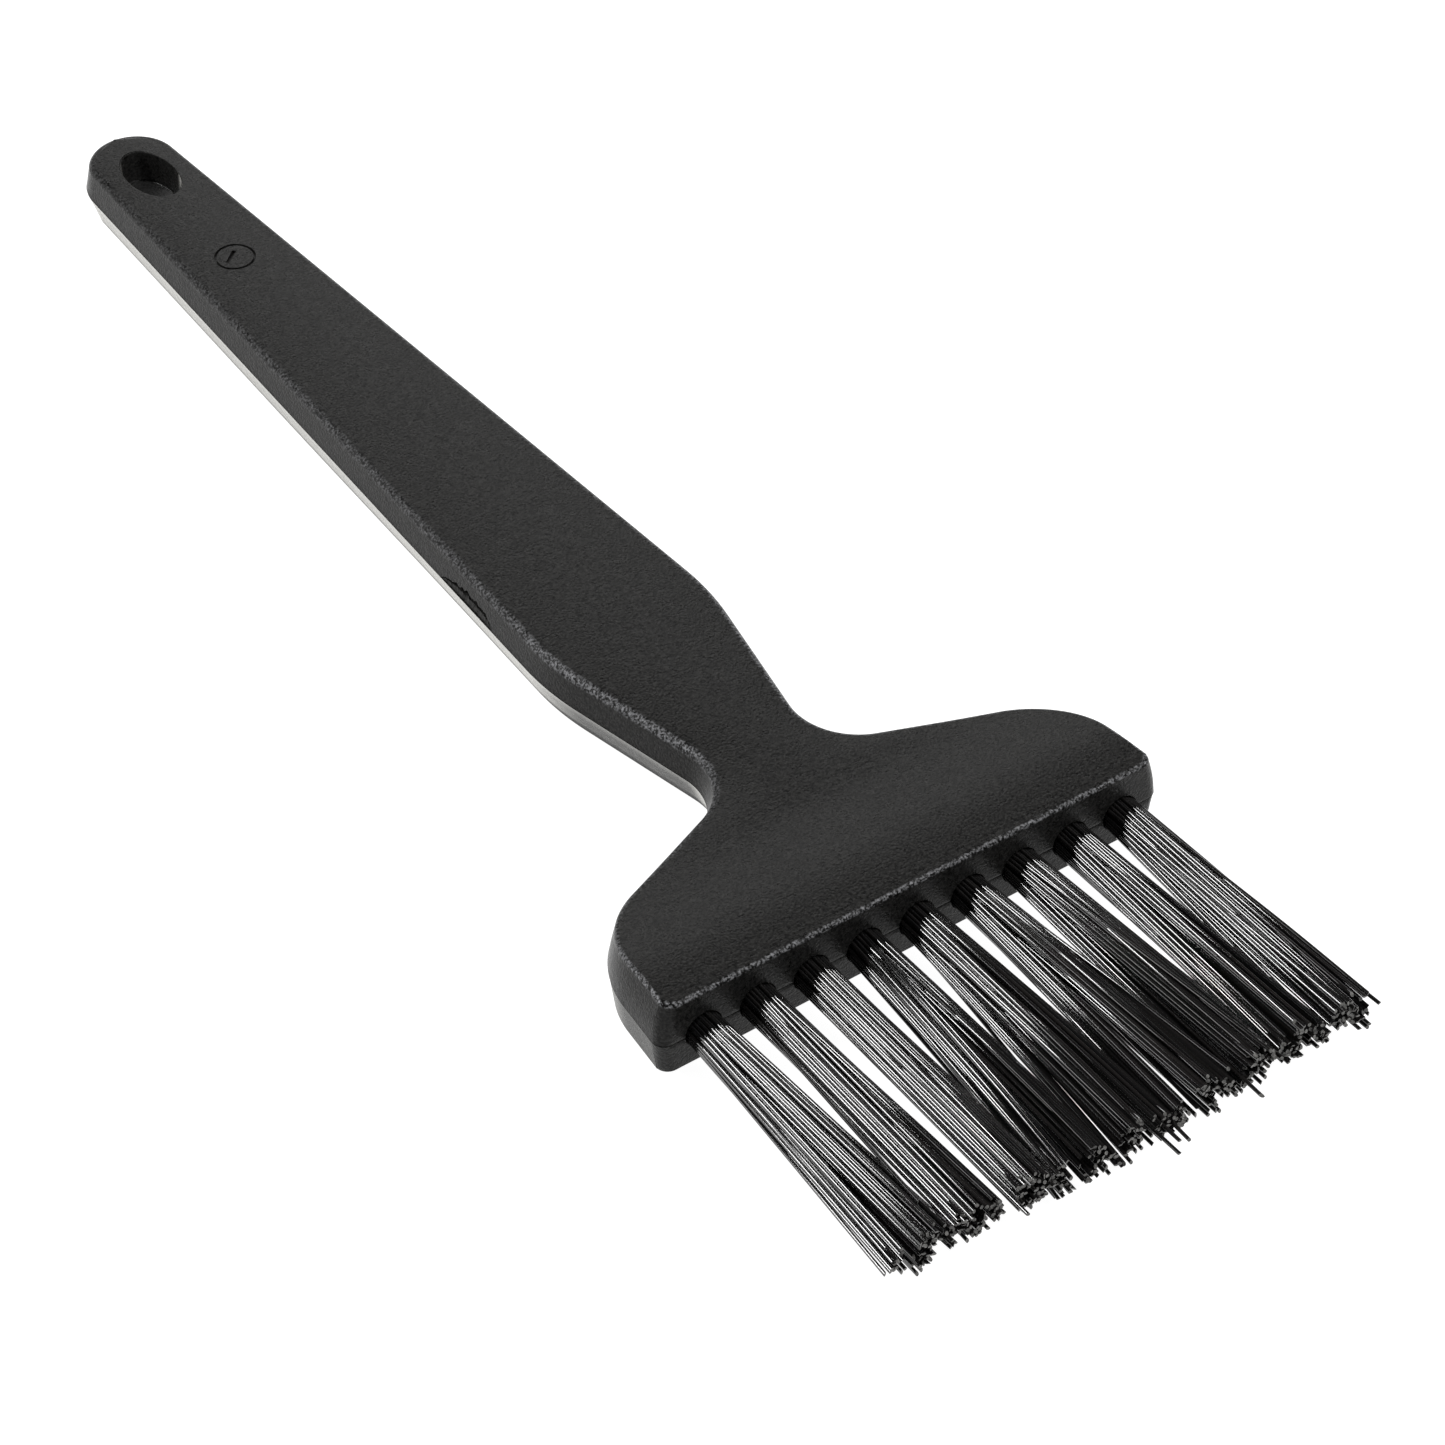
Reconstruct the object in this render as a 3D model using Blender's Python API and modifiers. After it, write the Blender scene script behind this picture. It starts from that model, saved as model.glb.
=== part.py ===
"""Flat antistatic paint and dust brush: one moulded handle, nine anchored tufts.

The brush lies on the plane z = 0. X runs across the head, the handle points
to +Y and the filaments point to -Y. The origin is under the middle of the
whole brush. Lengths in the constants are millimetres, and every mesh is
written in metres.
"""
import math

import bmesh
import bpy
from mathutils import Matrix, Vector

MM = 0.001

# ---------------------------------------------------------------- dimensions
# Filament tufts, one row along the front of the head.
TUFT_COUNT = 9
TUFT_PITCH = 7.0
TUFT_LENGTH = 37.6          # free length in front of the head
TUFT_ROOT_R = 2.0           # packed bundle inside its socket
TUFT_TIP_HALF_X = 3.2       # fanned half width at the tips
TUFT_TIP_HALF_Z = 2.5
TUFT_SIDES = 16
SOCKET_R = 2.3
SOCKET_DEPTH = 11.0
SOCKET_CONE = 1.0           # the drill point at the bottom of a socket
SOCKET_SIDES = 24

# Flat wire anchor that pins each folded tuft to the bottom of its socket.
ANCHOR_SPAN = 5.4           # across the socket, into both walls
ANCHOR_DEPTH = 1.8          # along the socket
ANCHOR_THICK = 0.5
ANCHOR_FROM_BOTTOM = 1.6    # socket floor to the middle of the wire
FIT_GAP = 0.3               # clearance between pieces that touch

# Heights of the moulding. The two mould halves meet at PARTING_Z.
PARTING_Z = 4.4
HEAD_RISE = 5.65            # parting plane to the top of the head
HANDLE_RISE = 4.25          # parting plane to the top of the handle
RISE_FROM_Y = 4.0           # the head starts to thin out here ...
RISE_TO_Y = 21.0            # ... and has the handle's thickness here

# Draft of the walls away from the parting plane.
SIDE_DRAFT_UP = math.radians(10.5)
HEAD_DRAFT_DOWN = math.radians(7.2)
HANDLE_DRAFT_DOWN = math.radians(20.0)
FRONT_DRAFT_UP = math.radians(2.0)
FRONT_DRAFT_DOWN = math.radians(2.5)

# Rounding of the upper and lower edges, on the head and on the handle.
EDGE_R_HEAD = 0.5
EDGE_R_HANDLE = 0.95
EDGE_R_LOW_HEAD = 0.2
EDGE_R_LOW_HANDLE = 0.6

# Half of the plan outline, at the parting plane. y = 0 is the front face.
FRONT_CORNER = (33.74, 0.0)
SHOULDER_CORNER = (32.15, 15.47)
NECK_CORNER = (6.22, 25.94)
BULGE_CORNER = (11.77, 53.05)
FRONT_CORNER_R = 1.5
SHOULDER_R = 12.9
NECK_R = 7.66
BULGE_R = 36.0
END_R = 6.3
END_CENTRE_Y = 162.8

# Oval hanging hole near the end of the handle.
HOLE_CENTRE_Y = 158.6
HOLE_HALF_Y = 5.3
HOLE_HALF_X = 3.15
HOLE_DRAFT = 0.2            # each bore half narrows by this much inwards
HOLE_LEDGE = 0.15           # the lower bore half is this much smaller
HOLE_RIM_R = 0.4
HOLE_SIDES = 32

BODY_LENGTH = END_CENTRE_Y + END_R
SHIFT_Y = -(BODY_LENGTH - TUFT_LENGTH) / 2.0

# ------------------------------------------------------------------ clearing
for old in list(bpy.data.objects):
    bpy.data.objects.remove(old, do_unlink=True)

parts = bpy.data.collections.new("flat_antistatic_brush")
bpy.context.scene.collection.children.link(parts)
tools = bpy.data.collections.new("cutters")
bpy.context.scene.collection.children.link(tools)


# ------------------------------------------------------------------- helpers
def material(name, colour, roughness, metallic):
    """Plain Principled material."""
    mat = bpy.data.materials.new(name)
    mat.use_nodes = True
    shader = mat.node_tree.nodes["Principled BSDF"]
    shader.inputs["Base Color"].default_value = (*colour, 1.0)
    shader.inputs["Roughness"].default_value = roughness
    shader.inputs["Metallic"].default_value = metallic
    return mat


def add_object(name, bm, mat=None, cutter=False):
    """Turn a bmesh in millimetres into a named object in metres."""
    bmesh.ops.transform(bm, matrix=Matrix.Scale(MM, 4), verts=bm.verts)
    bmesh.ops.recalc_face_normals(bm, faces=bm.faces)
    mesh = bpy.data.meshes.new(name)
    bm.to_mesh(mesh)
    bm.free()
    obj = bpy.data.objects.new(name, mesh)
    (tools if cutter else parts).objects.link(obj)
    if mat:
        mesh.materials.append(mat)
    if cutter:
        obj.hide_render = True
        obj.display_type = "WIRE"
    return obj


def cut(obj, tool):
    """Boolean difference, exact solver."""
    mod = obj.modifiers.new(tool.name, "BOOLEAN")
    mod.operation = "DIFFERENCE"
    mod.solver = "EXACT"
    mod.object = tool


def smoothstep(value, low, high):
    """0 below low, 1 above high, and a smooth S between them."""
    t = min(max((value - low) / (high - low), 0.0), 1.0)
    return t * t * (3.0 - 2.0 * t)


# ------------------------------------------------------------- plan outline
def arc_points(before, corner, after, radius, steps):
    """Points and outward normals of the arc that rounds one corner."""
    corner = Vector(corner)
    to_before = (Vector(before) - corner).normalized()
    to_after = (Vector(after) - corner).normalized()
    half = to_before.angle(to_after) / 2.0
    centre = corner + (to_before + to_after).normalized() * (radius / math.sin(half))
    start = corner + to_before * (radius / math.tan(half)) - centre
    turn = to_before.cross(to_after)
    sweep = math.pi - 2.0 * half
    side = -1.0 if turn > 0.0 else 1.0
    result = []
    for step in range(steps + 1):
        spoke = start.copy()
        spoke.rotate(Matrix.Rotation(side * sweep * step / steps, 2))
        result.append((centre + spoke, spoke.normalized() * side))
    return result


def end_tangent(point):
    """Angle on the end circle where a line from point touches it."""
    centre = Vector((0.0, END_CENTRE_Y))
    away = Vector(point) - centre
    return math.atan2(away.y, away.x) + math.acos(END_R / away.length)


def half_outline():
    """Right half of the outline: front corner, side, neck, handle, tip."""
    angle = end_tangent(BULGE_CORNER)
    tangent = (END_R * math.cos(angle), END_CENTRE_Y + END_R * math.sin(angle))
    points = arc_points((0.0, 0.0), FRONT_CORNER, SHOULDER_CORNER, FRONT_CORNER_R, 4)
    points += arc_points(FRONT_CORNER, SHOULDER_CORNER, NECK_CORNER, SHOULDER_R, 10)
    points += arc_points(SHOULDER_CORNER, NECK_CORNER, BULGE_CORNER, NECK_R, 8)
    points += arc_points(NECK_CORNER, BULGE_CORNER, tangent, BULGE_R, 4)
    steps = 8
    for step in range(steps + 1):
        turn = angle + (math.pi / 2.0 - angle) * step / steps
        spoke = Vector((math.cos(turn), math.sin(turn)))
        points.append((Vector((0.0, END_CENTRE_Y)) + spoke * END_R, spoke))
    return refine(points, 4.0, 30.0)


def refine(points, step_head, step_handle):
    """Split the straight stretches so that the top can bend along them."""
    result = [points[0]]
    for (here, _), (there, normal) in zip(points, points[1:]):
        step = step_head if here.y < RISE_TO_Y else step_handle
        count = max(1, math.ceil((there - here).length / step))
        last = result[-1][1]
        for i in range(1, count):
            straight = last.lerp(normal, i / count).normalized()
            result.append((here.lerp(there, i / count), straight))
        result.append((there, normal))
    return result


# ------------------------------------------------------------- handle body
def rise(y):
    """Height of the top face above the parting plane."""
    return HEAD_RISE + (HANDLE_RISE - HEAD_RISE) * smoothstep(y, RISE_FROM_Y, RISE_TO_Y)


def along_brush(head, handle, y, start=8.0, stop=26.0):
    """A dimension that changes from its head value to its handle value."""
    return head + (handle - head) * smoothstep(y, start, stop)


def wall_levels():
    """Wall profile from bottom to top: (half, share of wall, edge angle)."""
    levels = [("down", 1.0, turn) for turn in (90.0, 45.0)]
    levels += [("down", 1.0, 0.0), ("none", 0.0, 0.0), ("up", 1.0, 0.0)]
    levels += [("up", 1.0, turn) for turn in (30.0, 60.0, 90.0)]
    return levels


def wall_point(point, normal, level):
    """Place one outline point on one level of the drafted, rounded wall."""
    half, share, turn = level
    if half == "up":
        height = rise(point.y)
        radius = along_brush(EDGE_R_HEAD, EDGE_R_HANDLE, point.y)
        side = SIDE_DRAFT_UP
        front = FRONT_DRAFT_UP
    else:
        height = PARTING_Z
        radius = along_brush(EDGE_R_LOW_HEAD, EDGE_R_LOW_HANDLE, point.y)
        side = along_brush(HEAD_DRAFT_DOWN, HANDLE_DRAFT_DOWN, point.y, 11.0, 27.0)
        front = FRONT_DRAFT_DOWN
    turn = math.radians(turn)
    climb = share * (height - radius) + radius * math.sin(turn)
    roll = radius * (1.0 - math.cos(turn))
    side_in = share * (height - radius) * math.tan(side) + roll
    front_in = share * (height - radius) * math.tan(front) + roll
    x = point.x - normal.x * side_in
    y = point.y - normal.y * (side_in if normal.y > 0.0 else front_in)
    z = PARTING_Z + (climb if half == "up" else -climb if half == "down" else 0.0)
    return Vector((max(x, 0.0), y + SHIFT_Y, z))


def handle_body(mat):
    """Head, neck and handle in one moulding, with its sockets and hole."""
    outline = half_outline()
    bm = bmesh.new()
    rings = []
    fronts = []
    for level in wall_levels():
        ring = [bm.verts.new(wall_point(p, n, level)) for p, n in outline]
        ring[-1].co.x = 0.0
        rings.append(ring)
        fronts.append(bm.verts.new((0.0, ring[0].co.y, ring[0].co.z)))
    for low, high in zip(range(len(rings) - 1), range(1, len(rings))):
        bm.faces.new((fronts[low], rings[low][0], rings[high][0], fronts[high]))
        for i in range(len(outline) - 1):
            bm.faces.new((rings[low][i], rings[low][i + 1],
                          rings[high][i + 1], rings[high][i]))
    for ring, front in ((rings[0], fronts[0]), (rings[-1], fronts[-1])):
        spine = [front] + [bm.verts.new((0.0, v.co.y, v.co.z)) for v in ring[1:-1]]
        for i in range(len(spine) - 1):
            bm.faces.new((spine[i], spine[i + 1], ring[i + 1], ring[i]))
        bm.faces.new((spine[-1], ring[-1], ring[-2]))
    obj = add_object("handle_body", bm, mat)
    mirror = obj.modifiers.new("mirror", "MIRROR")
    mirror.use_axis = (True, False, False)
    mirror.use_clip = True
    mirror.merge_threshold = 0.00001
    cut(obj, socket_tool())
    cut(obj, anchor_seat_tool())
    cut(obj, hanging_hole_tool())
    return obj


def tuft_x(index):
    """Centre of a tuft across the head."""
    return (index - (TUFT_COUNT - 1) / 2.0) * TUFT_PITCH


def loft(bm, rings, sides):
    """Closed solid through elliptical rings: (y, half x, half z) along Y."""
    loops = []
    for y, half_x, half_z in rings:
        loop = []
        for i in range(sides):
            angle = 2.0 * math.pi * i / sides
            place = (half_x * math.cos(angle), y, half_z * math.sin(angle))
            loop.append(bm.verts.new(place))
        loops.append(loop)
    for one, two in zip(loops, loops[1:]):
        for i in range(sides):
            j = (i + 1) % sides
            bm.faces.new((one[i], one[j], two[j], two[i]))
    bm.faces.new(loops[0])
    bm.faces.new(loops[-1])


def socket_tool():
    """Nine blind round sockets in the front face, coned at the bottom."""
    bm = bmesh.new()
    rings = [(-2.0, SOCKET_R, SOCKET_R), (SOCKET_DEPTH, SOCKET_R, SOCKET_R),
             (SOCKET_DEPTH + SOCKET_CONE, SOCKET_R / 3.0, SOCKET_R / 3.0)]
    loft(bm, rings, SOCKET_SIDES)
    bmesh.ops.translate(bm, verts=bm.verts, vec=(tuft_x(0), SHIFT_Y, PARTING_Z))
    obj = add_object("socket_tool", bm, cutter=True)
    row = obj.modifiers.new("row", "ARRAY")
    row.count = TUFT_COUNT
    row.use_relative_offset = False
    row.use_constant_offset = True
    row.constant_offset_displace = (TUFT_PITCH * MM, 0.0, 0.0)
    return obj


def box(bm, size, centre):
    """Box of the given size about a centre."""
    bmesh.ops.create_cube(bm, size=1.0,
                          matrix=Matrix.Translation(centre) @ Matrix.Diagonal((*size, 1.0)))


def anchor_y():
    """Middle of the anchor wires along the sockets."""
    return SHIFT_Y + SOCKET_DEPTH - ANCHOR_FROM_BOTTOM


def anchor_seat_tool():
    """The slots that the anchors are driven into, on both socket walls."""
    bm = bmesh.new()
    size = (ANCHOR_SPAN + 2.0 * FIT_GAP, ANCHOR_DEPTH + 2.0 * FIT_GAP,
            ANCHOR_THICK + 2.0 * FIT_GAP)
    box(bm, size, (tuft_x(0), anchor_y(), PARTING_Z))
    obj = add_object("anchor_seat_tool", bm, cutter=True)
    row = obj.modifiers.new("row", "ARRAY")
    row.count = TUFT_COUNT
    row.use_relative_offset = False
    row.use_constant_offset = True
    row.constant_offset_displace = (TUFT_PITCH * MM, 0.0, 0.0)
    return obj


def hanging_hole_tool():
    """Oval bore: both halves narrow inwards and meet at a small ledge."""
    top = PARTING_Z + HANDLE_RISE
    step = HOLE_DRAFT + HOLE_LEDGE
    levels = [(-1.0, -HOLE_RIM_R), (0.0, -HOLE_RIM_R), (HOLE_RIM_R, 0.0),
              (PARTING_Z - 0.1, step), (PARTING_Z + 0.1, HOLE_DRAFT),
              (top - HOLE_RIM_R, 0.0), (top - 0.3 * HOLE_RIM_R, -0.3 * HOLE_RIM_R),
              (top, -HOLE_RIM_R), (top + 1.0, -HOLE_RIM_R)]
    bm = bmesh.new()
    rings = [(z, HOLE_HALF_X - inset, HOLE_HALF_Y - inset) for z, inset in levels]
    loft(bm, rings, HOLE_SIDES)
    bmesh.ops.rotate(bm, verts=bm.verts, matrix=Matrix.Rotation(math.radians(90.0), 3, "X"))
    bmesh.ops.translate(bm, verts=bm.verts, vec=(0.0, HOLE_CENTRE_Y + SHIFT_Y, 0.0))
    return add_object("hanging_hole_tool", bm, cutter=True)


# ------------------------------------------------------- tufts and anchors
def tuft(index, mat):
    """One folded bundle: packed in its socket, fanned out at its tips."""
    inner = SOCKET_DEPTH - FIT_GAP
    rings = [(inner, TUFT_ROOT_R * 0.6, TUFT_ROOT_R * 0.6),
             (inner - 0.8, TUFT_ROOT_R, TUFT_ROOT_R), (-1.0, TUFT_ROOT_R, TUFT_ROOT_R)]
    for share in (0.35, 0.7, 0.97):
        half_x = TUFT_ROOT_R + (TUFT_TIP_HALF_X - TUFT_ROOT_R) * share
        half_z = TUFT_ROOT_R + (TUFT_TIP_HALF_Z - TUFT_ROOT_R) * share
        rings.append((-TUFT_LENGTH * share, half_x, half_z))
    rings.append((-TUFT_LENGTH, TUFT_TIP_HALF_X * 0.85, TUFT_TIP_HALF_Z * 0.8))
    bm = bmesh.new()
    loft(bm, rings, TUFT_SIDES)
    bmesh.ops.translate(bm, verts=bm.verts, vec=(tuft_x(index), SHIFT_Y, PARTING_Z))
    obj = add_object(f"tuft_{index + 1}", bm, mat)
    slot = bmesh.new()
    size = (TUFT_ROOT_R * 4.0, ANCHOR_DEPTH + 2.0 * FIT_GAP, ANCHOR_THICK + 2.0 * FIT_GAP)
    box(slot, size, (tuft_x(index), anchor_y(), PARTING_Z))
    cut(obj, add_object(f"fold_tool_{index + 1}", slot, cutter=True))
    return obj


def anchor(index, mat):
    """Short flat wire across the bottom of a socket, its edges eased."""
    bm = bmesh.new()
    size = (ANCHOR_SPAN, ANCHOR_DEPTH, ANCHOR_THICK)
    box(bm, size, (tuft_x(index), anchor_y(), PARTING_Z))
    obj = add_object(f"anchor_{index + 1}", bm, mat)
    ease = obj.modifiers.new("ease", "BEVEL")
    ease.width = 0.08 * MM
    ease.segments = 1
    ease.limit_method = "ANGLE"
    return obj


black_plastic = material("conductive_plastic", (0.040, 0.039, 0.038), 0.55, 0.0)
black_nylon = material("conductive_nylon", (0.012, 0.012, 0.013), 0.25, 0.0)
galvanised = material("galvanised_wire", (0.60, 0.60, 0.58), 0.35, 1.0)

handle_body(black_plastic)
for number in range(TUFT_COUNT):
    tuft(number, black_nylon)
    anchor(number, galvanised)
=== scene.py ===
"""Looks of the flat antistatic brush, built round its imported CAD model.

The moulding and the nine tufts are remade here in fine mesh work. The wire
anchors stay CAD nodes with a better material. Shapes are worked out in
millimetres from the CAD boxes and the moulding's own dimensions, and every
mesh is written in metres.
"""
import math

import bmesh
import bpy
import numpy as np
from mathutils import Matrix, Vector


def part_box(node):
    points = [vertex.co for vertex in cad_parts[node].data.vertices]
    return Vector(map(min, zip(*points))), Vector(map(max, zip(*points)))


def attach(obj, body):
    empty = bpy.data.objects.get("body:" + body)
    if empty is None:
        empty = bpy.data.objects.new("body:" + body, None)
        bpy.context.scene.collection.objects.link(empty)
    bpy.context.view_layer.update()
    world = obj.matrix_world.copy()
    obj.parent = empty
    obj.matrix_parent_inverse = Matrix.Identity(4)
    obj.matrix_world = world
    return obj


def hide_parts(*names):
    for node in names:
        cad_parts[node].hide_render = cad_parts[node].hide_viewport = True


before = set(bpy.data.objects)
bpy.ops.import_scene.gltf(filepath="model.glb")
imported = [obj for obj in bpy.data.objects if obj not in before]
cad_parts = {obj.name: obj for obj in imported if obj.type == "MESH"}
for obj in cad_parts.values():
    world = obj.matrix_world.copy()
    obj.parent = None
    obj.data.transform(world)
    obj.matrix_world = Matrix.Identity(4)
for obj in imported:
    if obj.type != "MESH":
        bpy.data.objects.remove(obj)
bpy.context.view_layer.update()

MM = 0.001

# ------------------------------------------------------- places from the CAD
body_low, body_high = (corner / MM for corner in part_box("handle_body"))
anchor_names = sorted(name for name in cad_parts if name.startswith("anchor_"))
tuft_names = sorted(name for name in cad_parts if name.startswith("tuft_"))
anchor_boxes = [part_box(name) for name in anchor_names]
TUFT_X = [(low.x + high.x) / 2.0 / MM for low, high in anchor_boxes]
ANCHOR_LOW, ANCHOR_HIGH = (corner / MM for corner in anchor_boxes[0])
PARTING_Z = (ANCHOR_LOW.z + ANCHOR_HIGH.z) / 2.0
FRONT_Y = body_low.y
TUFT_LENGTH = FRONT_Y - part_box(tuft_names[0])[0].y / MM

# ------------------------------------------------- dimensions of the moulding
HEAD_RISE = body_high.z - PARTING_Z
HANDLE_RISE = 4.25
RISE_FROM_Y = 4.0
RISE_TO_Y = 21.0
HANDLE_CROWN = 0.35         # the handle's top falls this much to its edges
HEAD_LEAN = 0.22            # the head's top falls this much to its front edge
HEAD_LEAN_Y = 9.0           # and starts to fall this far from it
SIDE_DRAFT_UP = math.radians(10.5)
SIDE_DRAFT_DOWN = math.radians(20.0)
END_DRAFT_DOWN = math.radians(7.2)  # the same at the two ends of the head
TIP_DRAFT_DOWN = math.radians(17.5) # and towards the end of the handle
END_BULGE = 0.17            # the head's ends swell this much at mid height
FRONT_DRAFT_UP = math.radians(2.0)
FRONT_DRAFT_DOWN = math.radians(2.5)
EDGE_R_HEAD = 0.5
EDGE_R_HANDLE = 0.95
EDGE_R_LOW_HEAD = 0.2       # the edges of the underside are sharper
EDGE_R_LOW_HANDLE = 0.6
SEAM_HALF = 0.07            # half width of the groove where the mould halves meet
SEAM_DEPTH = 0.18
SEAM_STEP = 0.05            # the lower half is this much smaller

# Stretches over which dimensions change, y from the front face.
HEAD_TO_HANDLE_Y = (8.0, 26.0)
END_DRAFT_Y = (11.0, 27.0)
END_BULGE_Y = (6.0, 20.0)
TIP_DRAFT_Y = (70.0, 120.0)
# the painted sheen on the lower half grows to full strength over this stretch
PAINTED_SHEEN_Y = (20.0, 30.0)

# Half of the plan outline at the parting plane, y from the front face.
FRONT_CORNER = (33.74, 0.0)
SHOULDER_CORNER = (32.15, 15.47)
NECK_CORNER = (6.22, 25.94)
BULGE_CORNER = (11.77, 53.05)
FRONT_CORNER_R = 1.5
SHOULDER_R = 12.9
NECK_R = 7.66
BULGE_R = 36.0
END_R = 6.3
END_CENTRE_Y = body_high.y - FRONT_Y - END_R
STEP_HEAD = 0.6             # mesh spacing along the outline
STEP_HANDLE = 1.3
ACROSS = 96                 # mesh columns across the top and the underside
TOP_EDGE_RINGS = 11         # mesh rings round the top edge

# How strongly glints are painted into the top edge's colour, at distances from the front face.
PAINTED_GLINT_AT = (0.0, 6.0, 14.0, 27.0, 33.0, 55.0, 62.0, 110.0, 165.0)
PAINTED_GLINT = (0.85, 0.85, 0.25, 0.3, 0.7, 0.7, 0.35, 0.25, 0.08)
PAINTED_SHEEN_HEAD = 0.25      # how strong the painted grazing sheen on the head's lower half is beside the handle's

# Hanging hole.
HOLE_CENTRE_Y = 158.6
HOLE_HALF_Y = 5.3
HOLE_HALF_X = 3.15
HOLE_DRAFT = 0.2            # the bore narrows this much from rim to parting plane
HOLE_LEDGE = 0.15           # the lower bore is this much narrower
HOLE_LEDGE_SPAN = (0.15, 0.02, 0.06, 0.2)  # heights of the step below and above
HOLE_RIM_R = 0.15

# Torn crescent in the left wall.
GOUGE_FROM_Y = 65.0
GOUGE_TO_Y = 76.2
GOUGE_BASE = 0.1            # its lower rim lies this far above the parting plane
GOUGE_HEIGHT = 1.55
GOUGE_DEPTH = 1.1
GOUGE_TEAR = 0.16           # how ragged its upper rim is
GOUGE_STATIONS = 64
GOUGE_SMOOTHING = (0.2, 0.5, 0.8, 0.5, 0.2)
GOUGE_OUTSIDE = 0.6         # the cutter starts this far outside the wall
GOUGE_SEED = 4

# Round mould-insert mark.
MARK_CENTRE = (-0.46, 137.6)
MARK_R = 2.44
MARK_WIDTH = 0.42
MARK_DEPTH = 0.35
MARK_SLOT_LENGTH = 2.5
MARK_SLOT_PLACE = (-0.4, 0.3)
MARK_SLOT_TURN = 40.0       # degrees

# Sockets and filaments.
SOCKET_R = 2.3
SOCKET_EASE = 0.12          # how much wider the socket mouths are
SOCKET_DEPTH = 11.0
SOCKET_CONE = 1.0
FILAMENT_D = 0.44
BUNDLE_TILT = 32.0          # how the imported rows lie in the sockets, degrees
ROW_SPACING = 0.866         # between close-packed rows, in diameters
FILAMENT_SIDES = 10
FREE_RINGS = 16             # mesh rings along the free length
TIP_HALF_Z = 2.3
CLUMPS = 7                  # strands that the filaments of a tuft gather into
CLUMP_REACH = 0.15          # square millimetres: small values keep the strands apart
CLUMP_DRIFT = (0.5, 0.3)
ROOT_SCATTER = 0.01
TIP_SCATTER = 0.04
LOOSE_SHARE = 0.13          # share of the filaments that leave their strand
LOOSE_SCATTER = 0.9
BOW_SCATTER = 0.02
LENGTH_SCATTER = 0.35
END_SLANT = 0.35            # how much the cut ends lean
DROOP_SPREAD = 0.2          # share by which the droop differs inside a tuft
LOWEST_Z = FILAMENT_D - PARTING_Z  # lowest filament centre, just above the table
RELAX_ROUNDS = 5            # how often touching filaments are pushed apart
RELAX_SHARE = 0.6

# The hidden fold of the filaments round their anchor.
FOLD_MOUTH_Y = 4.0          # the socket stretch is straight from here on
FOLD_BACK = 0.4             # the turn starts this far inside the anchor's back edge
FOLD_RISE = 0.35            # each outer row lies this much further from the middle
FOLD_REACH = 0.75
FOLD_NEST = 0.2             # and turns this much further back

# Single filaments that stand out: (tuft, x and z of the tip from the middle of
# the tuft, extra length).
STRAYS = [(0, -4.5, 0.6, 0.6), (0, -5.2, 0.2, 0.4), (1, -4.8, 2.2, -4.0), (2, -2.8, 0.4, 2.6),
          (4, 1.5, -1.2, 4.4), (4, 1.9, -1.5, 4.0), (4, 2.9, -1.0, 2.9), (5, -3.2, -1.2, 3.2),
          (6, -0.5, -0.6, 3.2), (7, 3.4, 0.5, 1.2), (8, 3.5, 0.4, 1.0)]

# How each tuft opens towards its tips: (lean in x, half width, droop).
TUFT_SHAPES = [(0.2, 3.9, 0.1), (0.0, 4.2, 0.15), (-0.3, 4.2, 0.25),
               (-0.5, 4.3, 1.4), (0.3, 4.3, 1.4), (0.6, 4.3, 0.85),
               (0.3, 4.2, 0.5), (0.3, 4.1, 0.3), (0.0, 3.7, 0.15)]
FILAMENT_SEED = 9

# ------------------------------------------------------- grain of the plastic
GRAIN_DENSITY = 3300.0      # features per metre
GRAIN_HEIGHT = 0.00009      # metres
SWELL_DENSITY = 350.0
SWELL_HEIGHT = 0.00004

# ------------------------------------- studio: metres, degrees and W/(m2 sr)
KEY_TILTS = (28.0, 39.0)    # the arch of softboxes, left of straight up
KEY_FORWARD = 0.54          # the share of their direction that lies along the brush
KEY_SIZE = (0.15, 0.11)
KEY_RADIANCE = 42.0
SIDE_TILT = 73.0
SIDE_FORWARD = 0.55
SIDE_SIZE = (0.36, 0.36)
SIDE_RADIANCE = 5.0
SOFTBOX_DISTANCE = 0.9
# Panels: name, direction, distance, size, radiance.
PANELS = (("front_panel", (0.44, -0.32, 0.84), 1.0, (0.35, 0.8), 9.0),
          ("back_panel", (0.38, 0.76, 0.52), 1.1, (0.7, 0.4), 2.7))
WORLD_GLOW = 0.03
FLOOR_HALF = 2500.0         # millimetres, like the wall's radius and height
FLOOR_DROP = 0.0002
FLOOR_GREY = 0.3
FLOOR_GLOW = 0.97
WALL_RADIUS = 2400.0
WALL_HEIGHT = 900.0
WALL_GREY = 0.5
WALL_GLOW = 0.15

# Camera of the reference view, its place in millimetres.
CAMERA_AZIMUTH = -35.98
CAMERA_ELEVATION = 42.45
CAMERA_ROLL = 0.231
CAMERA_PLACE = (-231.52, -349.13, 366.89)
CAMERA_LENS = 119.86


# ------------------------------------------------------------------- helpers
def smoothstep(value, low, high):
    """0 below low, 1 above high, and a smooth S between them."""
    t = min(max((value - low) / (high - low), 0.0), 1.0)
    return t * t * (3.0 - 2.0 * t)


def link_object(name, data):
    """Put data in the scene as a new object."""
    obj = bpy.data.objects.new(name, data)
    bpy.context.scene.collection.objects.link(obj)
    return obj


def add_object(name, bm, materials=()):
    """Turn a bmesh in millimetres into an object in metres."""
    bmesh.ops.transform(bm, matrix=Matrix.Scale(MM, 4), verts=bm.verts)
    mesh = bpy.data.meshes.new(name)
    bm.to_mesh(mesh)
    bm.free()
    for mat in materials:
        mesh.materials.append(mat)
    return link_object(name, mesh)


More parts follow.
